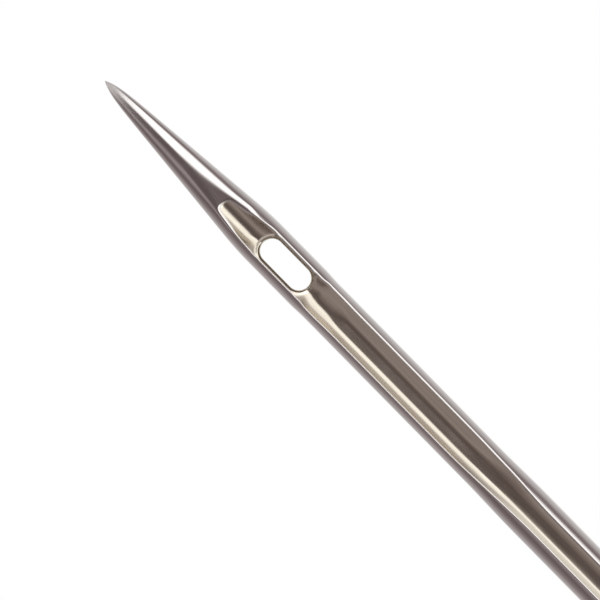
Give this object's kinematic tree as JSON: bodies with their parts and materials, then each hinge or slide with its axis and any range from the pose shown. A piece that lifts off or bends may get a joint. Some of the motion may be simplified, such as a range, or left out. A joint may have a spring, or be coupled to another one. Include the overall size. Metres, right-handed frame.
{
  "type": "sewing machine needle",
  "caption": "Flat-shank sewing machine needle: thick shank, slim grooved blade, scarf, oblong eye and slender round point, in plated steel.",
  "frame": {"origin": "middle of the butt face, which stops against the needle bar", "axes": "+Z along the needle from the point to the butt, as it hangs in a machine; +Y out of the shank's flat, the side of the scarf; the long groove faces -Y"},
  "size_m": [0.002, 0.0016, 0.039],
  "materials": {
    "steel": "polished nickel-toned plating on steel"
  },
  "bodies": {
    "root": {"shank": "steel", "shoulder": "steel", "blade": "steel", "scarf": "steel", "eye": "steel", "point": "steel"}
  },
  "joints": []
}
